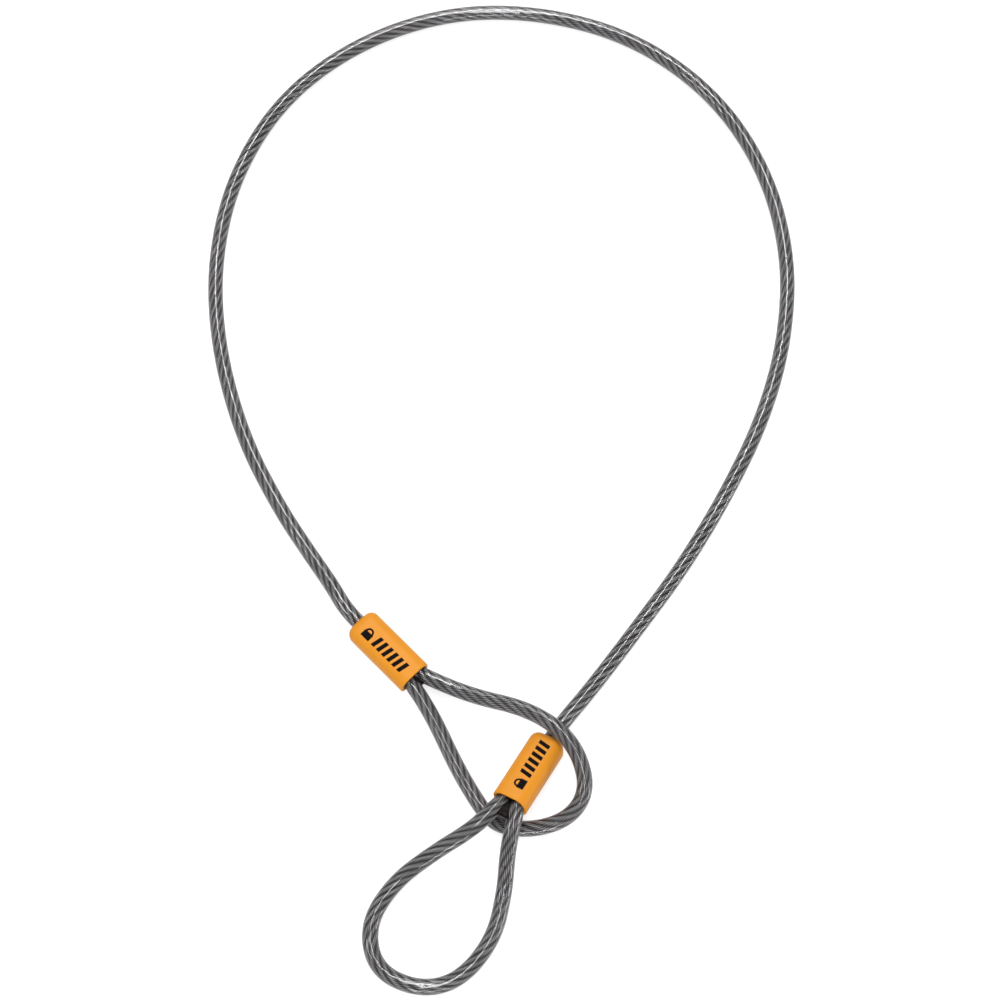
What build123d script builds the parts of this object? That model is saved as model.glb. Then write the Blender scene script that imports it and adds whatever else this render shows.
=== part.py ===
"""Looped security cable for a bicycle: one jacketed steel rope with a crimped eye at each end.

The cable lies on a flat surface at z = 0, with +Y along its longest side and +Z up.
Its noose eye is threaded over the other end, the lock end, whose eye takes a lock's shackle.
Each sub-part is written to parts/NAME.step, in millimetres.
"""

from build123d import *
import os
from math import cos, pi, radians, sin, tan

# Wire rope: a core strand with six outer strands round it, in a clear jacket.
CABLE_D = 5.0
JACKET_BORE = 4.2
STRAND_D = 1.30
STRAND_RING_R = 1.34
OUTER_STRANDS = 6

# Moulded cover over each crimp. Its length runs from the mouth (0) to the domed end.
COVER_LENGTH = 25.4
COVER_WIDTH = 11.5
COVER_HEIGHT = 8.8
COVER_CORNER_R = 3.6
DOME_FILLET = 2.6
DOME_WALL = 2.9
LIP_FILLET = 0.3
RECESS_DEPTH = 3.6
RECESS_WIDTH = 9.4
RECESS_HEIGHT = 7.2
RECESS_CORNER_R = 2.9

# Aluminium ferrule with two barrels, crimped on the rope inside the cover.
FERRULE_LENGTH = 11.9
FERRULE_WIDTH = 10.0
FERRULE_HEIGHT = 6.6
FERRULE_CORNER_R = 3.1
BARREL_D = 4.1
BARREL_OFFSET = 2.15
CRIMP_BANDS = 3
CRIMP_BAND_WIDTH = 2.2
CRIMP_DEPTH = 0.3

# The rope's way through a cover, measured from the mouth.
CENTRED_AT = 20.7
IN_BARREL_AT = 17.3
TAIL_END = 16.3
EXIT_CORNER_AT = 31.5
LEG_CORNER_AT = 0.9
LEG_RUN = 4.0
JACKET_START = 2.3

# The lock eye flexes at its cover's mouth, about a line across the mouth.
HINGE_AT = -0.4
ROPE_TO_HINGE = 0.7
HINGE_TO_EYE = 1.0
FLEX_LIMITS = (0.0, 30.0)

# Places of the two covers: the mouth's centre, heading towards the dome, pitch and roll.
NOOSE_END = Pos(-27.4, -74.5, 4.7) * Rot(Z=134.8) * Rot(Y=-1)
LOCK_END = Pos(2.2, -115.6, 10.5) * Rot(Z=59) * Rot(Y=14) * Rot(X=-12)

# Turn of each leg away from its cover's length, in degrees: first the side that the main
# rope's barrel is on, then the side of the cut tail.
NOOSE_LEG_TURNS = (25.0, 2.0)
LOCK_LEG_TURNS = (21.0, 15.7)

# Corners of the routes, between the points that the covers give. Arcs join the runs.
MAIN_ROUTE = [
    (27.8, -77.6, 2.6),
    (40.7, -60.5, 2.5),
    (58.2, -36.8, 2.5),
    (74.2, -9.8, 2.5),
    (86.5, 16.0, 2.5),
    (94.5, 43.5, 2.5),
    (97.0, 74.0, 2.5),
    (90.5, 106.5, 2.5),
    (74.0, 136.0, 2.5),
    (47.0, 158.5, 2.5),
    (15.0, 169.0, 2.5),
    (-18.2, 169.3, 2.5),
    (-50.3, 157.0, 2.5),
    (-76.3, 134.8, 2.5),
    (-92.0, 104.5, 2.5),
    (-97.5, 71.5, 2.5),
    (-94.5, 39.0, 2.5),
    (-85.0, 7.5, 2.5),
    (-71.9, -17.5, 2.6),
    (-61.0, -34.0, 3.6),
    (-54.3, -43.9, 4.7),
]
NOOSE_EYE_ROUTE = [
    (-9.0, -79.9, 5.0),
    (6.5, -85.0, 8.6),
    (17.6, -92.0, 10.9),
    (24.0, -101.0, 10.7),
    (26.0, -111.5, 8.4),
    (20.4, -119.3, 5.8),
    (9.0, -122.6, 4.2),
    (-2.0, -121.4, 3.2),
    (-8.4, -112.4, 2.8),
    (-14.8, -101.1, 2.5),
    (-20.8, -88.2, 3.0),
]
LOCK_EYE_ROUTE = [
    (1.6, -129.5, 8.4),
    (0.7, -141.4, 4.2),
    (-2.6, -155.3, 2.5),
    (-12.5, -167.5, 2.5),
    (-24.8, -170.5, 2.5),
    (-38.1, -164.6, 2.5),
    (-41.0, -151.0, 2.5),
    (-33.0, -138.2, 3.2),
    (-20.3, -129.4, 6.4),
    (-9.0, -123.2, 9.9),
]

ARC_SHARE = 0.45


def at(end, along, across=0.0, up=0.0):
    """Point of a cover's own frame: along from the mouth, across, and up."""
    return (end * Pos(along, across, up)).position


def leg_point(end, side, turn, run):
    """Point on an eye's leg, a run past the corner where it leaves the barrel's line."""
    along = LEG_CORNER_AT - run * cos(radians(turn))
    across = BARREL_OFFSET + run * sin(radians(turn))
    return at(end, along, side * across)


def corner_radii(points):
    """Each arc takes a set share of the shorter run beside its corner."""
    radii = []
    for before, corner, after in zip(points, points[1:], points[2:]):
        run_in = corner - before
        run_out = after - corner
        half_turn = radians(run_in.get_angle(run_out)) / 2
        shorter = min(run_in.length, run_out.length)
        radii.append(ARC_SHARE * shorter / tan(half_turn))
    return radii


def route(points):
    """Straight runs joined by tangent arcs."""
    return FilletPolyline(*points, radius=corner_radii(points))


def swept(path, outer_d, inner_d=0.0, ring_r=0.0, angle=0.0):
    """Round rod or tube along a path, if wanted at a distance from it, at an angle."""
    start = Plane(origin=path @ 0, z_dir=path % 0)
    place = start * Pos(ring_r * cos(radians(angle)), ring_r * sin(radians(angle)))
    section = Circle(outer_d / 2)
    if inner_d:
        section -= Circle(inner_d / 2)
    return sweep(place * section, path=path)


def strands(path, name):
    """The rope's core strand and its outer strands, as named solids."""
    pieces = {f"{name}_core_strand": swept(path, STRAND_D)}
    for number in range(OUTER_STRANDS):
        strand = swept(path, STRAND_D, ring_r=STRAND_RING_R, angle=number * 360 / OUTER_STRANDS)
        pieces[f"{name}_outer_strand_{number + 1}"] = strand
    return pieces


def oval_bar(start, length, width, height, corner_r):
    """Bar of rounded rectangular section along the cover's length."""
    section = Plane.YZ.offset(start) * RectangleRounded(width, height, corner_r)
    return extrude(section, length)


def cover():
    """Moulded cover, hollow from its mouth, with the main cable's hole in the domed end."""
    body = oval_bar(0, COVER_LENGTH, COVER_WIDTH, COVER_HEIGHT, COVER_CORNER_R)
    body = fillet(body.faces().sort_by(Axis.X)[-1].edges(), DOME_FILLET)
    body = fillet(body.faces().sort_by(Axis.X)[0].edges(), LIP_FILLET)
    chamber_length = COVER_LENGTH - DOME_WALL - RECESS_DEPTH
    body -= oval_bar(RECESS_DEPTH, chamber_length, FERRULE_WIDTH, FERRULE_HEIGHT, FERRULE_CORNER_R)
    body -= oval_bar(-1, RECESS_DEPTH + 1, RECESS_WIDTH, RECESS_HEIGHT, RECESS_CORNER_R)
    hole = Plane.YZ.offset(COVER_LENGTH - DOME_WALL - 1) * Circle(CABLE_D / 2)
    return body - extrude(hole, DOME_WALL + 2)


def ferrule():
    """Oval crimp ferrule with two barrels and the bands that the crimping dies leave."""
    body = oval_bar(RECESS_DEPTH, FERRULE_LENGTH, FERRULE_WIDTH, FERRULE_HEIGHT, FERRULE_CORNER_R)
    for side in (-1, 1):
        barrel = Plane.YZ.offset(RECESS_DEPTH) * Pos(side * BARREL_OFFSET, 0) * Circle(BARREL_D / 2)
        body -= extrude(barrel, FERRULE_LENGTH)
    pitch = FERRULE_LENGTH / CRIMP_BANDS
    for number in range(CRIMP_BANDS):
        middle = RECESS_DEPTH + (number + 0.5) * pitch
        for side in (-1, 1):
            band_z = side * FERRULE_HEIGHT / 2
            band = Box(CRIMP_BAND_WIDTH, FERRULE_WIDTH, 2 * CRIMP_DEPTH)
            body -= Pos(middle, 0, band_z) * band
    return body


def through_cover(end, side):
    """Corners of the rope's way from a cover's barrel to the cable beyond the dome."""
    return [
        at(end, IN_BARREL_AT, side * BARREL_OFFSET),
        at(end, CENTRED_AT),
        at(end, EXIT_CORNER_AT),
    ]


def vectors(points):
    return [Vector(*point) for point in points]


MAIN_SIDE = -1
TAIL_SIDE = 1

# Rope from the lock end's hinge, round the main loop and the noose eye, to its cut tail.
noose_legs = [
    leg_point(NOOSE_END, MAIN_SIDE, NOOSE_LEG_TURNS[0], LEG_RUN),
    *vectors(NOOSE_EYE_ROUTE),
    leg_point(NOOSE_END, TAIL_SIDE, NOOSE_LEG_TURNS[1], LEG_RUN),
]
rope_points = [
    at(LOCK_END, HINGE_AT + ROPE_TO_HINGE, MAIN_SIDE * BARREL_OFFSET),
    *through_cover(LOCK_END, MAIN_SIDE),
    *vectors(MAIN_ROUTE),
    *reversed(through_cover(NOOSE_END, MAIN_SIDE)),
    at(NOOSE_END, LEG_CORNER_AT, MAIN_SIDE * BARREL_OFFSET),
    *noose_legs,
    at(NOOSE_END, LEG_CORNER_AT, TAIL_SIDE * BARREL_OFFSET),
    at(NOOSE_END, TAIL_END, TAIL_SIDE * BARREL_OFFSET),
]
main_jacket_points = [
    at(LOCK_END, COVER_LENGTH - DOME_WALL),
    at(LOCK_END, EXIT_CORNER_AT),
    *vectors(MAIN_ROUTE),
    at(NOOSE_END, EXIT_CORNER_AT),
    at(NOOSE_END, COVER_LENGTH - DOME_WALL),
]
noose_jacket_points = [
    leg_point(NOOSE_END, MAIN_SIDE, NOOSE_LEG_TURNS[0], JACKET_START),
    *noose_legs,
    leg_point(NOOSE_END, TAIL_SIDE, NOOSE_LEG_TURNS[1], JACKET_START),
]

# The lock eye starts just past the hinge line.
eye_gap = LEG_CORNER_AT - HINGE_AT + HINGE_TO_EYE
lock_eye_points = [
    leg_point(LOCK_END, MAIN_SIDE, LOCK_LEG_TURNS[0], eye_gap / cos(radians(LOCK_LEG_TURNS[0]))),
    *vectors(LOCK_EYE_ROUTE),
    leg_point(LOCK_END, TAIL_SIDE, LOCK_LEG_TURNS[1], eye_gap / cos(radians(LOCK_LEG_TURNS[1]))),
]

rope_path = route(rope_points)
lock_eye_path = route(lock_eye_points)
tail_path = Line(
    at(LOCK_END, HINGE_AT + ROPE_TO_HINGE, TAIL_SIDE * BARREL_OFFSET),
    at(LOCK_END, TAIL_END, TAIL_SIDE * BARREL_OFFSET),
)

jackets = {
    "main_jacket": main_jacket_points,
    "noose_eye_jacket": noose_jacket_points,
    "lock_eye_jacket": lock_eye_points,
}

parts = {
    "noose_cover": NOOSE_END * cover(),
    "lock_cover": LOCK_END * cover(),
    "noose_ferrule": NOOSE_END * ferrule(),
    "lock_ferrule": LOCK_END * ferrule(),
    **strands(rope_path, "rope"),
    **strands(lock_eye_path, "lock_eye"),
    "lock_rope_tail": Compound(children=list(strands(tail_path, "tail").values())),
}
for name, points in jackets.items():
    path = route(points)
    parts[name] = swept(path, CABLE_D, JACKET_BORE)
    section = pi * (CABLE_D**2 - JACKET_BORE**2) / 4
    print(name, "length", round(path.length, 1), "radii", [round(r, 1) for r in corner_radii(points)])
    print(name, "volume", round(parts[name].volume, 1), "section x length", round(section * path.length, 1))
print("rope length", round(rope_path.length, 1), "lock eye rope", round(lock_eye_path.length, 1))

hinge = at(LOCK_END, HINGE_AT)
hinge_axis = at(LOCK_END, HINGE_AT, 1) - hinge
print("lock eye hinge", hinge, "axis", hinge_axis, "limits", FLEX_LIMITS)

os.makedirs("parts", exist_ok=True)
for name, shape in parts.items():
    export_step(shape, f"parts/{name}.step")
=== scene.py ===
"""Looks of the looped security cable: wire rope in a clear jacket, with two orange crimp covers."""

import math

import bmesh
import bpy
import numpy as np
from mathutils import Matrix, Vector


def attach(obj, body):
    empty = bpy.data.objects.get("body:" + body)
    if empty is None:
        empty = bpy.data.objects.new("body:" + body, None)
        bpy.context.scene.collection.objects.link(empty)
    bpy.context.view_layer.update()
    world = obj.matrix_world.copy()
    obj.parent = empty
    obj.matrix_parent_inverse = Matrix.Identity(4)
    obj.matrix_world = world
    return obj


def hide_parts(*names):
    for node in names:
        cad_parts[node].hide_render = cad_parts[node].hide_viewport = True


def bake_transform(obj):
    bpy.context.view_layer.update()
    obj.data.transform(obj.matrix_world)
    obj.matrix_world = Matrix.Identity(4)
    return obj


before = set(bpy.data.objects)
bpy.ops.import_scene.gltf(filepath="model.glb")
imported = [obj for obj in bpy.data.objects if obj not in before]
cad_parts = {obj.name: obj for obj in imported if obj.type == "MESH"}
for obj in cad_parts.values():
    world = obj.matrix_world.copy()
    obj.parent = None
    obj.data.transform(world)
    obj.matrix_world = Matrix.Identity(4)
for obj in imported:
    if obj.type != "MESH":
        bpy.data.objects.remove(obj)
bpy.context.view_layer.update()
MM = 0.001

# ---- sizes in millimetres, as in the CAD model ----
CABLE_R = 2.5
STRAND_RING_R = 1.34
STRAND_D = 1.30
OUTER_STRANDS = 6

COVER_LENGTH = 25.4
COVER_WIDTH = 11.5
COVER_HEIGHT = 8.8
COVER_CORNER_R = 3.6
DOME_FILLET = 2.6
DOME_WALL = 2.9
RECESS_DEPTH = 3.6
RECESS_WIDTH = 9.4
RECESS_HEIGHT = 7.2
RECESS_CORNER_R = 2.9

BARREL_OFFSET = 2.15
CENTRED_AT = 20.7
IN_BARREL_AT = 17.3
TAIL_END = 16.3
EXIT_CORNER_AT = 31.5
LEG_CORNER_AT = 0.9
LEG_RUN = 4.0
MAIN_SIDE = -1
TAIL_SIDE = 1

# ---- the cable's way ----
# As in the CAD model but for three values of the noose eye, which move it by under a millimetre:
# the turn of its first leg, its first point and its eighth.
NOOSE_LEG_TURNS = (13.0, 2.0)
LOCK_LEG_TURNS = (21.0, 15.7)

MAIN_ROUTE = [
    (27.8, -77.6, 2.6),
    (40.7, -60.5, 2.5),
    (58.2, -36.8, 2.5),
    (74.2, -9.8, 2.5),
    (86.5, 16.0, 2.5),
    (94.5, 43.5, 2.5),
    (97.0, 74.0, 2.5),
    (90.5, 106.5, 2.5),
    (74.0, 136.0, 2.5),
    (47.0, 158.5, 2.5),
    (15.0, 169.0, 2.5),
    (-18.2, 169.3, 2.5),
    (-50.3, 157.0, 2.5),
    (-76.3, 134.8, 2.5),
    (-92.0, 104.5, 2.5),
    (-97.5, 71.5, 2.5),
    (-94.5, 39.0, 2.5),
    (-85.0, 7.5, 2.5),
    (-71.9, -17.5, 2.6),
    (-61.0, -34.0, 3.6),
    (-54.3, -43.9, 4.7),
]
NOOSE_EYE_ROUTE = [
    (-9.2, -80.4, 5.0),
    (6.5, -85.0, 8.6),
    (17.6, -92.0, 10.9),
    (24.0, -101.0, 10.7),
    (26.0, -111.5, 8.4),
    (20.4, -119.3, 5.8),
    (9.0, -122.6, 4.2),
    (-2.4, -120.8, 3.2),
    (-8.4, -112.4, 2.8),
    (-14.8, -101.1, 2.5),
    (-20.8, -88.2, 3.0),
]
LOCK_EYE_ROUTE = [
    (1.6, -129.5, 8.4),
    (0.7, -141.4, 4.2),
    (-2.6, -155.3, 2.5),
    (-12.5, -167.5, 2.5),
    (-24.8, -170.5, 2.5),
    (-38.1, -164.6, 2.5),
    (-41.0, -151.0, 2.5),
    (-33.0, -138.2, 3.2),
    (-20.3, -129.4, 6.4),
    (-9.0, -123.2, 9.9),
]

# ---- the rope's lay and the jacket's ripple, which the CAD model hasn't, in millimetres ----
ROPE_LAY = 26.4
WIRE_LAY = 6.2
WIRES = 6
RIPPLE = 0.011

# ---- meshing, with steps along a line in millimetres ----
LINE_RESOLUTION = 40
LINE_STEP = 0.25
STRAND_STEP = 0.5
CORE_STEP = 1.5
JACKET_STEP = 0.5
POINTS_PER_WIRE = 4
CORE_SIDES = 12
JACKET_SIDES = 48
OVAL_SIDES = 96


def placed(x, y, z, heading, pitch, roll):
    """A cover's own frame: x from its mouth to its dome, y across it, z out of its top."""
    turn = Matrix.Rotation(math.radians(heading), 4, "Z")
    turn @= Matrix.Rotation(math.radians(pitch), 4, "Y")
    turn @= Matrix.Rotation(math.radians(roll), 4, "X")
    return Matrix.Translation((x, y, z)) @ turn


NOOSE_END = placed(-27.4, -74.5, 4.7, 134.8, -1, 0)
LOCK_END = placed(2.2, -115.6, 10.5, 59, 14, -12)


def at(end, along, across=0.0, up=0.0):
    """Point of a cover's own frame: along from its mouth, across it and up."""
    return end @ Vector((along, across, up))


def leg_point(end, side, turn, run):
    """Point on an eye's leg, a run past the corner where it leaves the barrel's line."""
    along = LEG_CORNER_AT - run * math.cos(math.radians(turn))
    across = BARREL_OFFSET + run * math.sin(math.radians(turn))
    return at(end, along, side * across)


# ---- lines and frames along them ----


def distances(line):
    """Distance of each point along a polyline."""
    gaps = np.linalg.norm(np.diff(line, axis=0), axis=1)
    return np.concatenate(([0.0], np.cumsum(gaps)))


def even_steps(line, step):
    """Points at an even distance along a close polyline."""
    reach = distances(line)
    count = max(2, round(reach[-1] / step) + 1)
    wanted = np.linspace(0.0, reach[-1], count)
    return np.stack([np.interp(wanted, reach, line[:, axis]) for axis in range(3)], axis=1)


def smooth_line(name, points):
    """Close points of the NURBS spline that has the route's points as control points, in mm."""
    data = bpy.data.curves.new(name, "CURVE")
    data.dimensions = "3D"
    data.resolution_u = LINE_RESOLUTION
    spline = data.splines.new("NURBS")
    spline.points.add(len(points) - 1)
    for place, point in zip(spline.points, points):
        place.co = (*(MM * value for value in point), 1.0)
    spline.order_u = 3
    spline.use_endpoint_u = True
    curve = bpy.data.objects.new(name, data)
    bpy.context.scene.collection.objects.link(curve)
    mesh = bpy.data.meshes.new_from_object(curve)
    line = np.array([vertex.co for vertex in mesh.vertices]) / MM
    bpy.data.objects.remove(curve)
    bpy.data.meshes.remove(mesh)
    return line


def unit(vectors):
    return vectors / np.linalg.norm(vectors, axis=-1, keepdims=True)


def carried_frames(line):
    """Tangent and two normals at each point, with no twist about the line."""
    tangents = unit(np.gradient(line, axis=0))
    normal = unit(np.cross(tangents[0], (0.0, 0.0, 1.0)))
    normals = []
    for tangent in tangents:
        normal = unit(normal - tangent * np.dot(normal, tangent))
        normals.append(normal)
    normals = np.array(normals)
    return tangents, normals, np.cross(tangents, normals)


class Line:
    """A smooth line with its frames, read at any distance along it."""

    def __init__(self, name, points):
        self.points = even_steps(smooth_line(name, points), LINE_STEP)
        self.reach = distances(self.points)
        self.tangents, self.normals, self.sides = carried_frames(self.points)

    def near(self, point):
        """Distance along the line of its nearest point."""
        gaps = np.linalg.norm(self.points - np.array(point), axis=1)
        return float(self.reach[int(np.argmin(gaps))])

    def read(self, start, end, step):
        """Distances, points and both normals between two distances."""
        count = max(2, round((end - start) / step) + 1)
        where = np.linspace(start, end, count)
        columns = []
        for table in (self.points, self.normals, self.sides):
            columns.append(np.stack([np.interp(where, self.reach, table[:, k]) for k in range(3)], 1))
        return where, *columns


# ---- meshes ----


def skin(name, rings, lengths, capped=True):
    """Closed tube mesh through rings of points in mm, with UVs: turn, and metres along."""
    count, around = rings.shape[:2]
    vertices = rings.reshape(-1, 3) * MM
    faces = []
    uvs = []
    along = np.asarray(lengths) * MM
    for i in range(count - 1):
        for j in range(around):
            k = (j + 1) % around
            faces.append((i * around + j, i * around + k, (i + 1) * around + k, (i + 1) * around + j))
            low, high = j / around, (j + 1) / around
            uvs.extend(((low, along[i]), (high, along[i]), (high, along[i + 1]), (low, along[i + 1])))
    if capped:
        faces.append(tuple(reversed(range(around))))
        uvs.extend([(0.0, along[0])] * around)
        faces.append(tuple((count - 1) * around + j for j in range(around)))
        uvs.extend([(0.0, along[-1])] * around)
    mesh = bpy.data.meshes.new(name)
    mesh.from_pydata(vertices.tolist(), [], faces)
    layer = mesh.uv_layers.new(name="along")
    layer.data.foreach_set("uv", np.array(uvs, dtype=np.float32).ravel())
    mesh.polygons.foreach_set("use_smooth", [True] * len(mesh.polygons))
    mesh.update()
    piece = bpy.data.objects.new(name, mesh)
    bpy.context.scene.collection.objects.link(piece)
    return piece


def wire_radii():
    """Outline of six round wires round a seventh: a radius for each point of a ring."""
    wire_r = STRAND_D / 6
    radii = []
    for index in range(WIRES * POINTS_PER_WIRE):
        off = (index % POINTS_PER_WIRE) / POINTS_PER_WIRE * 360 / WIRES
        off = math.radians(min(off, 360 / WIRES - off))
        rise = max(0.0, 1 - 4 * math.sin(off) ** 2)
        radii.append(wire_r * (2 * math.cos(off) + math.sqrt(rise)))
    return np.array(radii)


def outer_strand(name, line, start, end, number):
    """One helical strand of the rope, with its own wires laid the other way."""
    where, centre, normal, side = line.read(start, end, STRAND_STEP)
    lay = 2 * math.pi * (where / ROPE_LAY + number / OUTER_STRANDS)
    out = np.cos(lay)[:, None] * normal + np.sin(lay)[:, None] * side
    middle = centre + STRAND_RING_R * out
    tangent = unit(np.gradient(middle, axis=0))
    across = unit(out - tangent * np.sum(out * tangent, axis=1)[:, None])
    third = np.cross(tangent, across)
    radii = wire_radii()
    turn = np.linspace(0, 2 * math.pi, len(radii), endpoint=False)
    spin = turn[None, :] - 2 * math.pi * where[:, None] / WIRE_LAY
    rings = middle[:, None, :] + radii[None, :, None] * (
        np.cos(spin)[..., None] * across[:, None, :] + np.sin(spin)[..., None] * third[:, None, :]
    )
    piece = skin(name, rings, where)
    # How far each point faces out of the rope, read by the steel to paint shade into the strands'
    # grooves.
    outward = piece.data.attributes.new("outward", "FLOAT", "POINT")
    outward.data.foreach_set("value", np.cos(spin).astype(np.float32).ravel())
    return piece


def round_rings(centre, normal, side, radius, sides):
    """Rings round a line's points, with a radius for all of them or for each of their points."""
    turn = np.linspace(0, 2 * math.pi, sides, endpoint=False)
    across = np.cos(turn)[None, :, None] * normal[:, None, :]
    third = np.sin(turn)[None, :, None] * side[:, None, :]
    return centre[:, None, :] + radius * (across + third)


def core_strand(name, line, start, end):
    """The strand in the rope's middle, as one round rod."""
    where, centre, normal, side = line.read(start, end, CORE_STEP)
    return skin(name, round_rings(centre, normal, side, STRAND_D / 2, CORE_SIDES), where)


# ---- how much narrower the jackets get in a mouth, and over what length outside it ----
PINCH = 0.15
PINCH_REACH = 2.0


def pinch(rings, centre, end):
    """The soft jackets of an eye's two legs are squeezed narrow, side by side, in the mouth."""
    mouth = np.array(at(end, 0))
    inward = np.array(at(end, 1)) - mouth
    across = np.array(at(end, 0, 1)) - mouth
    up = np.array(at(end, 0, 0, 1)) - mouth
    depth = (centre - mouth) @ inward
    beside = np.linalg.norm(centre - mouth, axis=1) < COVER_LENGTH
    share = np.clip((depth + PINCH_REACH) / PINCH_REACH, 0, 1) * beside
    amount = PINCH * share * share * (3 - 2 * share)
    offset = rings - centre[:, None, :]
    offset -= (amount[:, None] * (offset @ across))[..., None] * across
    offset += (amount[:, None] * (offset @ up))[..., None] * up
    return centre[:, None, :] + offset


def jacket(name, line, start, end, squeezed_by=None):
    """Clear jacket, faintly rippled by the strands under it, and its middle line in metres."""
    where, centre, normal, side = line.read(start, end, JACKET_STEP)
    turn = np.linspace(0, 2 * math.pi, JACKET_SIDES, endpoint=False)
    lay = 2 * math.pi * where / ROPE_LAY
    ripple = RIPPLE * (np.cos(OUTER_STRANDS * (turn[None, :] - lay[:, None])) - 1)
    rings = round_rings(centre, normal, side, (CABLE_R + ripple)[..., None], JACKET_SIDES)
    if squeezed_by is not None:
        rings = pinch(rings, centre, squeezed_by)
    return skin(name, rings, where), centre * MM


def oval(x, width, height, corner_r):
    """Ring of points on a rounded rectangle across a cover, at x along it."""
    points = []
    for index in range(OVAL_SIDES):
        angle = 2 * math.pi * (index + 0.5) / OVAL_SIDES
        c, s = math.cos(angle), math.sin(angle)
        y = math.copysign(width / 2 - corner_r, c) + corner_r * c
        z = math.copysign(height / 2 - corner_r, s) + corner_r * s
        points.append((x, y, z))
    return points


def into_place(piece, end):
    """Moves a mesh that was made in a cover's own frame to where the cover is."""
    to_mm = Matrix.Diagonal((1 / MM, 1 / MM, 1 / MM, 1.0))
    to_metres = Matrix.Diagonal((MM, MM, MM, 1.0))
    piece.data.transform(to_metres @ end @ to_mm)


# The rounding of the mouth's lip and the dome's hole, each a hair larger than in the CAD model, and
# the rounding of the hole's edge.
LIP = 0.35
HOLE_R = 2.56
HOLE_LIP = 0.25


def cover_profile():
    """Stations of the cover's skin: inside its mouth, over its lip, along it, over its dome."""
    rings = []
    for x in (RECESS_DEPTH, RECESS_DEPTH * 0.6, LIP):
        rings.append(oval(x, RECESS_WIDTH, RECESS_HEIGHT, RECESS_CORNER_R))
    for step in (1, 2, 3):
        angle = math.radians(30 * step)
        grow = 2 * LIP * (1 - math.cos(angle))
        x = LIP * (1 - math.sin(angle))
        rings.append(oval(x, RECESS_WIDTH + grow, RECESS_HEIGHT + grow, RECESS_CORNER_R + grow / 2))
    for step in (0, 1, 2, 3):
        angle = math.radians(30 * step)
        shrink = 2 * LIP * (1 - math.sin(angle))
        x = LIP * (1 - math.cos(angle))
        rings.append(oval(x, COVER_WIDTH - shrink, COVER_HEIGHT - shrink, COVER_CORNER_R - shrink / 2))
    straight_end = COVER_LENGTH - DOME_FILLET
    for share in (0.04, 0.25, 0.5, 0.75, 0.96):
        rings.append(oval(share * straight_end, COVER_WIDTH, COVER_HEIGHT, COVER_CORNER_R))
    for step in range(10):
        angle = math.radians(10 * step)
        shrink = 2 * DOME_FILLET * (1 - math.cos(angle))
        x = straight_end + DOME_FILLET * math.sin(angle)
        rings.append(oval(x, COVER_WIDTH - shrink, COVER_HEIGHT - shrink, COVER_CORNER_R - shrink / 2))
    for x, radius in (
        (COVER_LENGTH, HOLE_R + HOLE_LIP),
        (COVER_LENGTH - HOLE_LIP / 2, HOLE_R + HOLE_LIP / 4),
        (COVER_LENGTH - HOLE_LIP, HOLE_R),
        (COVER_LENGTH - DOME_WALL, HOLE_R),
    ):
        rings.append(oval(x, 2 * radius, 2 * radius, radius))
    return np.array(rings)


def cover(name, end):
    """Moulded cover as one closed skin, from its mouth's floor round to its dome's hole."""
    rings = cover_profile()
    lengths = np.arange(len(rings), dtype=float)
    piece = skin(name, rings, lengths, capped=False)
    into_place(piece, end)
    return piece


# ---- the printed sign, in millimetres along from its start and up from its middle line ----
INK_THICKNESS = 0.02
MARK_HALF_HEIGHT = 1.95
BARS = 6
BAR_WIDTH = 1.35
BAR_PITCH = 2.3
BAR_SLANT = 0.75
FIRST_BAR_AT = 4.6
LOCK_BODY_LENGTH = 3.4
LOCK_BODY_TOP = 0.35
SHACKLE_R = 1.15
SHACKLE_WIDTH = 0.62
BAR_ROWS = 8
SHACKLE_ROWS = 12


def top_height(across):
    """Height of a cover's top above its middle line, flat in the middle and rounded beyond."""
    flat = COVER_WIDTH / 2 - COVER_CORNER_R
    past = max(0.0, abs(across) - flat)
    return COVER_HEIGHT / 2 - COVER_CORNER_R + math.sqrt(COVER_CORNER_R**2 - past**2)


def add_patch(shape, place, rows):
    """Thin closed film of ink over a grid of (along, up) points of the mark."""
    count = len(rows[0])
    layers = []
    for lift in (-INK_THICKNESS, INK_THICKNESS):
        layers.append([[shape.verts.new(place(s, t, lift)) for s, t in row] for row in rows])
    low, high = layers
    last = len(rows) - 1
    for i in range(last):
        for j in range(count - 1):
            shape.faces.new((low[i][j], low[i + 1][j], low[i + 1][j + 1], low[i][j + 1]))
            shape.faces.new((high[i][j], high[i][j + 1], high[i + 1][j + 1], high[i + 1][j]))
    for i in range(last):
        for j in (0, count - 1):
            shape.faces.new((low[i][j], high[i][j], high[i + 1][j], low[i + 1][j]))
    for j in range(count - 1):
        for i in (0, last):
            shape.faces.new((low[i][j], low[i][j + 1], high[i][j + 1], high[i][j]))


def bar_rows(start, width, bottom, top, slant):
    """Grid over an upright bar of the mark, leaning by slant from bottom to top."""
    rows = []
    for step in range(BAR_ROWS + 1):
        share = step / BAR_ROWS
        lean = slant * share
        height = bottom + (top - bottom) * share
        rows.append([(start + lean, height), (start + width + lean, height)])
    return rows


def shackle_rows(middle, foot):
    """Grid over the arch of a small padlock sign."""
    rows = []
    for step in range(SHACKLE_ROWS + 1):
        angle = math.pi * step / SHACKLE_ROWS
        row = []
        for radius in (SHACKLE_R - SHACKLE_WIDTH / 2, SHACKLE_R + SHACKLE_WIDTH / 2):
            row.append((middle - radius * math.cos(angle), foot + radius * math.sin(angle)))
        rows.append(row)
    return rows


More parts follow.
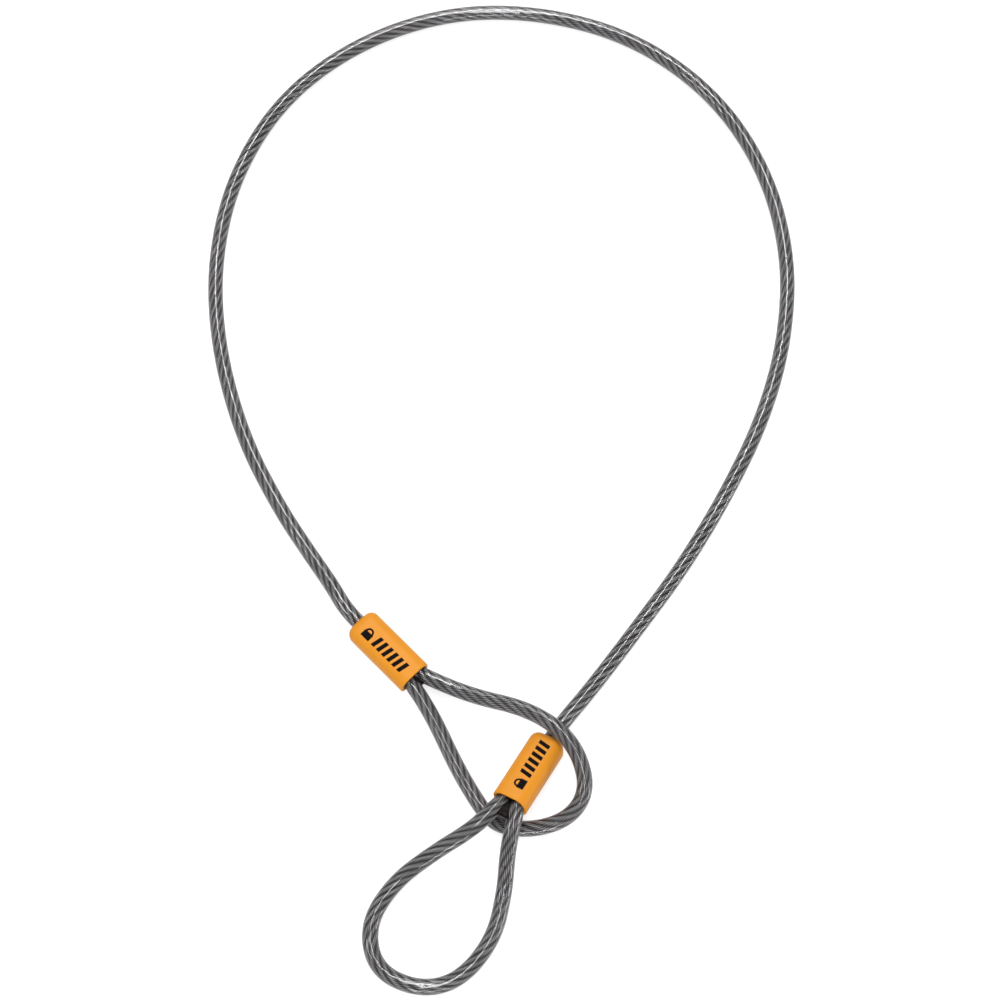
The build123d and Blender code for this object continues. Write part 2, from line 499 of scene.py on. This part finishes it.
def printed_mark(name, end, start, direction, middle):
    """Plain generic sign on a cover's top: a small padlock and a row of leaning bars."""

    def place(s, t, lift):
        across = middle + direction * t
        height = top_height(across) + lift
        return at(end, start + direction * s, across, height) * MM

    shape = bmesh.new()
    add_patch(shape, place, bar_rows(0.0, LOCK_BODY_LENGTH, -MARK_HALF_HEIGHT, LOCK_BODY_TOP, 0.0))
    add_patch(shape, place, shackle_rows(LOCK_BODY_LENGTH / 2, LOCK_BODY_TOP))
    for number in range(BARS):
        bar_start = FIRST_BAR_AT + number * BAR_PITCH
        rows = bar_rows(bar_start, BAR_WIDTH, -MARK_HALF_HEIGHT, MARK_HALF_HEIGHT, BAR_SLANT)
        add_patch(shape, place, rows)
    bmesh.ops.recalc_face_normals(shape, faces=shape.faces)
    mesh = bpy.data.meshes.new(name)
    shape.to_mesh(mesh)
    shape.free()
    piece = bpy.data.objects.new(name, mesh)
    bpy.context.scene.collection.objects.link(piece)
    return piece


# ---- dark fill of painted shade in the mouth: the plug's face inside the mouth, and its gaps to the recess's walls and floor ----
PLUG_FACE = 0.7
PLUG_GAP = 0.02
PLUG_BACK_GAP = 0.1


def mouth_plug(name, end):
    """Nearly black plug of painted shade that fills a cover's mouth round the two legs."""
    rings = []
    for x, inset in ((RECESS_DEPTH - PLUG_BACK_GAP, 0.0), (PLUG_FACE + 0.3, 0.0), (PLUG_FACE, 0.5)):
        width = RECESS_WIDTH - 2 * PLUG_GAP - 2 * inset
        height = RECESS_HEIGHT - 2 * PLUG_GAP - 2 * inset
        rings.append(oval(x, width, height, RECESS_CORNER_R - inset))
    piece = skin(name, np.array(rings), [0.0, 1.0, 2.0])
    into_place(piece, end)
    return piece


# Where the web starts inside the mouth, its height there, and how deep it goes into each leg.
WEB_FROM = 0.9
WEB_HEIGHT = 2.6
WEB_INTO_LEGS = 0.85
WEB_STEPS = 9


def leg_web(name, end, turns, reach):
    """Dark web of painted shade drawn out between the two legs, up to a reach outside the mouth."""
    rings = []
    for step in range(WEB_STEPS + 1):
        x = WEB_FROM - (WEB_FROM + reach) * step / WEB_STEPS
        out = LEG_CORNER_AT - x
        main_y = -BARREL_OFFSET - max(0.0, out) * math.tan(math.radians(turns[0]))
        tail_y = BARREL_OFFSET + max(0.0, out) * math.tan(math.radians(turns[1]))
        gap = max(0.0, tail_y - main_y - 2 * CABLE_R)
        width = gap + 2 * WEB_INTO_LEGS
        height = WEB_HEIGHT * math.sqrt(1 - (step / (WEB_STEPS + 0.4)) ** 2)
        radius = 0.45 * min(width, height)
        middle = (main_y + tail_y) / 2
        rings.append([(px, py + middle, pz) for px, py, pz in oval(x, width, height, radius)])
    piece = skin(name, np.array(rings), np.arange(len(rings), dtype=float))
    into_place(piece, end)
    return piece


# ---- materials ----


def material(name, **sockets):
    """New material, its node tree and its shader, with sockets named with _ for a space."""
    made = bpy.data.materials.new(name)
    made.use_nodes = True
    shader = made.node_tree.nodes["Principled BSDF"]
    for socket, value in sockets.items():
        shader.inputs[socket.replace("_", " ")].default_value = value
    return made, made.node_tree, shader


def noise(tree, scale, detail=4.0, roughness=0.5):
    """Cloudy grey value, its scale in cells per metre."""
    where = tree.nodes.new("ShaderNodeTexCoord")
    texture = tree.nodes.new("ShaderNodeTexNoise")
    texture.inputs["Scale"].default_value = scale
    texture.inputs["Detail"].default_value = detail
    texture.inputs["Roughness"].default_value = roughness
    tree.links.new(where.outputs["Object"], texture.inputs["Vector"])
    return texture.outputs["Fac"]


def ramp(tree, value, stops):
    """A colour for each value, from stops of place and colour."""
    node = tree.nodes.new("ShaderNodeValToRGB")
    while len(node.color_ramp.elements) < len(stops):
        node.color_ramp.elements.new(0.5)
    for element, (place, colour) in zip(node.color_ramp.elements, stops):
        element.position = place
        element.color = (*colour, 1.0)
    tree.links.new(value, node.inputs["Fac"])
    return node.outputs["Color"]


def spread(tree, value, low, high):
    """A value from 0 to 1 taken to one from low to high."""
    node = tree.nodes.new("ShaderNodeMapRange")
    node.inputs["To Min"].default_value = low
    node.inputs["To Max"].default_value = high
    tree.links.new(value, node.inputs["Value"])
    return node.outputs["Result"]


def bump(tree, shader, height, strength, distance):
    node = tree.nodes.new("ShaderNodeBump")
    node.inputs["Strength"].default_value = strength
    node.inputs["Distance"].default_value = distance
    tree.links.new(height, node.inputs["Height"])
    tree.links.new(node.outputs["Normal"], shader.inputs["Normal"])


def grey(level):
    return (level, level, level)


def clear_jacket():
    """Smoky clear PVC."""
    made, tree, shader = material(
        "clear_smoke_pvc",
        Base_Color=(0.74, 0.735, 0.74, 1.0),
        IOR=1.45,
        Specular_IOR_Level=0.35,
        Transmission_Weight=1.0,
    )
    haze = noise(tree, 120.0, detail=3.0)
    tree.links.new(spread(tree, haze, 0.02, 0.05), shader.inputs["Roughness"])
    bump(tree, shader, noise(tree, 160.0, detail=1.0), 0.06, 0.0001)
    return made


def multiplied(tree, colour, value):
    """A colour darkened by a grey value."""
    node = tree.nodes.new("ShaderNodeMix")
    node.data_type = "RGBA"
    node.blend_type = "MULTIPLY"
    node.inputs["Factor"].default_value = 1.0
    tree.links.new(colour, node.inputs["A"])
    tree.links.new(value, node.inputs["B"])
    return node.outputs["Result"]


def calculated(tree, operation, value, constant=0.0):
    """One step of arithmetic on a value."""
    node = tree.nodes.new("ShaderNodeMath")
    node.operation = operation
    tree.links.new(value, node.inputs[0])
    node.inputs[1].default_value = constant
    return node.outputs["Value"]


def wire_steel():
    """Grey wires, with painted shade between the wires and in the grooves between the strands."""
    made, tree, shader = material("steel_wire_painted_shade", Metallic=0.5, Specular_IOR_Level=0.3)
    cloud = noise(tree, 300.0, detail=5.0, roughness=0.6)
    stops = [(0.3, (0.29, 0.283, 0.29)), (0.7, (0.465, 0.457, 0.465))]
    colour = ramp(tree, cloud, stops)
    # Painted shade: the strands' sides and the grooves between them get darker the less they face out
    # of the rope.
    outward = tree.nodes.new("ShaderNodeAttribute")
    outward.attribute_name = "outward"
    stops = [(0.15, grey(0.28)), (0.6, grey(0.66)), (0.92, grey(1.0))]
    colour = multiplied(tree, colour, ramp(tree, outward.outputs["Fac"], stops))
    turn = tree.nodes.new("ShaderNodeSeparateXYZ")
    where = tree.nodes.new("ShaderNodeUVMap")
    where.uv_map = "along"
    tree.links.new(where.outputs["UV"], turn.inputs["Vector"])
    # Painted shade: each wire is darkened towards the gaps between it and its neighbours.
    share = calculated(tree, "FRACT", calculated(tree, "MULTIPLY", turn.outputs["X"], float(WIRES)))
    off_middle = calculated(tree, "ABSOLUTE", calculated(tree, "SUBTRACT", share, 0.5))
    stops = [(0.1, grey(0.1)), (0.36, grey(1.0))]
    colour = multiplied(tree, colour, ramp(tree, off_middle, stops))
    tree.links.new(colour, shader.inputs["Base Color"])
    tree.links.new(spread(tree, cloud, 0.35, 0.24), shader.inputs["Roughness"])
    return made


def orange_plastic():
    """Orange moulded plastic with a faint orange-peel skin."""
    made, tree, shader = material("orange_moulded_plastic", IOR=1.5, Specular_IOR_Level=0.15)
    cloud = noise(tree, 90.0, detail=3.0)
    stops = [(0.25, (0.45, 0.167, 0.008)), (0.75, (0.482, 0.187, 0.012))]
    tree.links.new(ramp(tree, cloud, stops), shader.inputs["Base Color"])
    peel = noise(tree, 1500.0, detail=3.0)
    tree.links.new(spread(tree, peel, 0.38, 0.52), shader.inputs["Roughness"])
    bump(tree, shader, peel, 0.25, 0.00008)
    return made


def black_ink():
    """Dull black printing ink."""
    made, tree, shader = material("black_printing_ink", IOR=1.45, Specular_IOR_Level=0.03)
    speckle = noise(tree, 2500.0, detail=3.0)
    stops = [(0.3, (0.0015, 0.001, 0.001)), (0.8, (0.006, 0.004, 0.004))]
    tree.links.new(ramp(tree, speckle, stops), shader.inputs["Base Color"])
    tree.links.new(spread(tree, speckle, 0.4, 0.65), shader.inputs["Roughness"])
    return made


def dark_painted_shade_fill():
    """Lumpy, nearly black material that paints the shade in a cover's mouth and between its legs."""
    made, tree, shader = material("dark_painted_shade_fill", IOR=1.45, Specular_IOR_Level=0.05)
    lumps = noise(tree, 900.0, detail=4.0)
    stops = [(0.3, (0.003, 0.002, 0.002)), (0.8, (0.018, 0.014, 0.013))]
    tree.links.new(ramp(tree, lumps, stops), shader.inputs["Base Color"])
    tree.links.new(spread(tree, lumps, 0.3, 0.6), shader.inputs["Roughness"])
    bump(tree, shader, lumps, 0.6, 0.0003)
    return made


def crimped_aluminium():
    """Grey aluminium, dulled by the crimping."""
    made, tree, shader = material("crimped_aluminium", Metallic=1.0)
    cloud = noise(tree, 800.0, detail=5.0)
    stops = [(0.3, (0.34, 0.34, 0.35)), (0.7, (0.55, 0.55, 0.56))]
    tree.links.new(ramp(tree, cloud, stops), shader.inputs["Base Color"])
    tree.links.new(spread(tree, cloud, 0.35, 0.55), shader.inputs["Roughness"])
    bump(tree, shader, cloud, 0.3, 0.00005)
    return made


def coat(piece, made):
    piece.data.materials.clear()
    piece.data.materials.append(made)


PVC = clear_jacket()
STEEL = wire_steel()
ORANGE = orange_plastic()
INK = black_ink()
ALUMINIUM = crimped_aluminium()
PAINTED_SHADE_FILL = dark_painted_shade_fill()

# ---- the rope, from the lock cover round the main loop and the noose eye to its tail ----


def vectors(points):
    return [Vector(point) for point in points]


def through_cover(end, side):
    """Points of the rope's way from a cover's barrel to the cable beyond the dome."""
    return [
        at(end, IN_BARREL_AT, side * BARREL_OFFSET),
        at(end, CENTRED_AT),
        at(end, EXIT_CORNER_AT),
    ]


rope_line = Line(
    "rope_route",
    [
        at(LOCK_END, LEG_CORNER_AT, MAIN_SIDE * BARREL_OFFSET),
        *through_cover(LOCK_END, MAIN_SIDE),
        *vectors(MAIN_ROUTE),
        *reversed(through_cover(NOOSE_END, MAIN_SIDE)),
        at(NOOSE_END, LEG_CORNER_AT, MAIN_SIDE * BARREL_OFFSET),
        leg_point(NOOSE_END, MAIN_SIDE, NOOSE_LEG_TURNS[0], LEG_RUN),
        *vectors(NOOSE_EYE_ROUTE),
        leg_point(NOOSE_END, TAIL_SIDE, NOOSE_LEG_TURNS[1], LEG_RUN),
        at(NOOSE_END, LEG_CORNER_AT, TAIL_SIDE * BARREL_OFFSET),
        at(NOOSE_END, TAIL_END, TAIL_SIDE * BARREL_OFFSET),
    ],
)
eye_line = Line(
    "lock_eye_route",
    [
        at(LOCK_END, IN_BARREL_AT, MAIN_SIDE * BARREL_OFFSET),
        at(LOCK_END, LEG_CORNER_AT, MAIN_SIDE * BARREL_OFFSET),
        leg_point(LOCK_END, MAIN_SIDE, LOCK_LEG_TURNS[0], LEG_RUN),
        *vectors(LOCK_EYE_ROUTE),
        leg_point(LOCK_END, TAIL_SIDE, LOCK_LEG_TURNS[1], LEG_RUN),
        at(LOCK_END, LEG_CORNER_AT, TAIL_SIDE * BARREL_OFFSET),
        at(LOCK_END, TAIL_END, TAIL_SIDE * BARREL_OFFSET),
    ],
)

# The lock eye's strands are pieces of their own, which meet the rope's inside the lock cover.
SPLICE_AT = 9.0
rope_start = rope_line.near(at(LOCK_END, SPLICE_AT, MAIN_SIDE * BARREL_OFFSET))
rope_end = float(rope_line.reach[-1])
eye_start = eye_line.near(at(LOCK_END, SPLICE_AT, MAIN_SIDE * BARREL_OFFSET))
eye_end = float(eye_line.reach[-1])

rope_strands = []
eye_strands = []
for number in range(OUTER_STRANDS):
    name = f"rope_strand_{number + 1}"
    strand = outer_strand(name, rope_line, rope_start, rope_end, number)
    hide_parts(f"rope_outer_strand_{number + 1}")
    rope_strands.append(strand)
    name = f"lock_eye_strand_{number + 1}"
    strand = outer_strand(name, eye_line, eye_start, eye_end, number)
    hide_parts(f"lock_eye_outer_strand_{number + 1}")
    eye_strands.append(strand)
strand = core_strand("rope_core", rope_line, rope_start, rope_end)
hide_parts("rope_core_strand")
rope_strands.append(strand)
strand = core_strand("lock_eye_core", eye_line, eye_start, eye_end)
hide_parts("lock_eye_core_strand", "lock_rope_tail")
eye_strands.append(strand)

# ---- jackets ----
JACKET_END = RECESS_DEPTH - 0.2
DOME_INSIDE = COVER_LENGTH - DOME_WALL
main_start = rope_line.near(at(LOCK_END, DOME_INSIDE))
main_end = rope_line.near(at(NOOSE_END, DOME_INSIDE))
noose_start = rope_line.near(at(NOOSE_END, JACKET_END, MAIN_SIDE * BARREL_OFFSET))
noose_end = rope_line.near(at(NOOSE_END, JACKET_END, TAIL_SIDE * BARREL_OFFSET))
lock_start = eye_line.near(at(LOCK_END, JACKET_END, MAIN_SIDE * BARREL_OFFSET))
lock_end = eye_line.near(at(LOCK_END, JACKET_END, TAIL_SIDE * BARREL_OFFSET))

main_jacket, main_path = jacket("main_cable_jacket", rope_line, main_start, main_end)
noose_jacket, noose_path = jacket("noose_jacket", rope_line, noose_start, noose_end, NOOSE_END)
lock_jacket, lock_path = jacket("lock_jacket", eye_line, lock_start, lock_end, LOCK_END)
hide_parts("main_jacket")
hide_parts("noose_eye_jacket")
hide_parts("lock_eye_jacket")

for piece in (main_jacket, noose_jacket, lock_jacket):
    coat(piece, PVC)
for piece in rope_strands + eye_strands:
    coat(piece, STEEL)
for piece in rope_strands + [main_jacket, noose_jacket]:
    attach(piece, "cable")

# The lock eye's strands and jacket have their placement baked into their meshes, and are not attached
# to the cable.
for piece in eye_strands + [lock_jacket]:
    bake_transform(piece)

# ---- covers, signs, dark fills of painted shade and ferrules ----
# For each: its end, where the sign starts along it, the sign's direction along the cover, its
# middle across the cover, the turns of its legs, and how far out its web reaches.
COVERS = {
    "noose": (NOOSE_END, 21.4, -1, 1.0, NOOSE_LEG_TURNS, 3.2),
    "lock": (LOCK_END, 3.9, 1, -0.6, LOCK_LEG_TURNS, 4.9),
}
for name, (end, start, direction, middle, turns, reach) in COVERS.items():
    shell = cover(f"{name}_cover_shell", end)
    coat(shell, ORANGE)
    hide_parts(f"{name}_cover")
    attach(shell, "cable")
    mark = printed_mark(f"{name}_cover_mark", end, start, direction, middle)
    coat(mark, INK)
    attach(mark, "cable")
    # The nearly black plug in the mouth and the web between the legs are painted shade.
    plug = mouth_plug(f"{name}_mouth_painted_shade", end)
    coat(plug, PAINTED_SHADE_FILL)
    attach(plug, "cable")
    web = leg_web(f"{name}_leg_web", end, turns, reach)
    coat(web, PAINTED_SHADE_FILL)
    if name == "noose":
        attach(web, "cable")
    else:
        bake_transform(web)
    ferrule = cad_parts[f"{name}_ferrule"]
    for place in ferrule.material_slots:
        place.material = ALUMINIUM


CORD_STEP = 0.003


def declare(path):
    """Resamples a jacketed stretch's middle line at an even step, and does nothing more with it."""
    path = even_steps(path, CORD_STEP)


declare(main_path)
declare(noose_path)
declare(lock_path)

# ---- floor, lights and camera, in metres and degrees ----
FLOOR_SIZE = 6.0
WORLD_STRENGTH = 0.6

# For each softbox: its place, its two sizes and its radiance.
SOFTBOXES = {
    "far_strip": ((0.0, 0.49, 1.20), 0.2, 0.46, 21.0),
    "over_strip": ((0.0, -0.15, 1.20), 0.16, 0.80, 18.0),
    "far_panel": ((0.0, 0.90, 0.93), 0.58, 0.80, 5.0),
    "near_strip": ((0.0, -1.3, 0.35), 0.9, 0.2, 14.0),
    "right_strip": ((1.2, -0.37, 0.14), 0.5, 0.2, 13.0),
    "left_strip": ((-0.98, -0.21, 0.82), 0.35, 0.18, 16.0),
}


def floor():
    """White table that glows a little, so that it stays white under soft shadows."""
    mesh = bpy.data.meshes.new("floor")
    half = FLOOR_SIZE / 2
    corners = [(-half, -half, 0), (half, -half, 0), (half, half, 0), (-half, half, 0)]
    mesh.from_pydata(corners, [], [(0, 1, 2, 3)])
    piece = bpy.data.objects.new("floor", mesh)
    bpy.context.scene.collection.objects.link(piece)
    made, _, _ = material(
        "pale_floor",
        Base_Color=(0.35, 0.35, 0.35, 1.0),
        Roughness=0.9,
        Specular_IOR_Level=0.1,
        Emission_Color=(1.0, 1.0, 1.0, 1.0),
        Emission_Strength=0.72,
    )
    coat(piece, made)


def softbox(name, place, size_x, size_y, radiance):
    """Rectangular light of even brightness, facing the origin."""
    data = bpy.data.lights.new(name, "AREA")
    data.shape = "RECTANGLE"
    data.size = size_x
    data.size_y = size_y
    data.energy = radiance * math.pi * size_x * size_y
    light = bpy.data.objects.new(name, data)
    light.location = place
    light.rotation_euler = (-Vector(place)).to_track_quat("-Z", "Y").to_euler()
    bpy.context.scene.collection.objects.link(light)


def studio():
    """White surroundings and the softboxes."""
    world = bpy.data.worlds.new("studio")
    bpy.context.scene.world = world
    world.use_nodes = True
    background = world.node_tree.nodes["Background"]
    background.inputs["Color"].default_value = (1.0, 1.0, 1.0, 1.0)
    background.inputs["Strength"].default_value = WORLD_STRENGTH
    for name, (place, size_x, size_y, radiance) in SOFTBOXES.items():
        softbox(name, place, size_x, size_y, radiance)
    bpy.context.scene.view_settings.view_transform = "Standard"


CAMERA_TILT = 20.0
CAMERA_DISTANCE = 0.70
CAMERA_TARGET = (-0.0007, -0.0133, 0.0)
CAMERA_LENS = 77.4


def camera():
    """Camera tilted off the vertical, above its target."""
    data = bpy.data.cameras.new("camera")
    data.lens = CAMERA_LENS
    data.sensor_width = 36.0
    tilt = math.radians(CAMERA_TILT)
    seen_from = bpy.data.objects.new("camera", data)
    back = Vector((0.0, -math.sin(tilt), math.cos(tilt))) * CAMERA_DISTANCE
    seen_from.location = Vector(CAMERA_TARGET) + back
    seen_from.rotation_euler = (tilt, 0.0, 0.0)
    bpy.context.scene.collection.objects.link(seen_from)
    bpy.context.scene.camera = seen_from


floor()
studio()
camera()
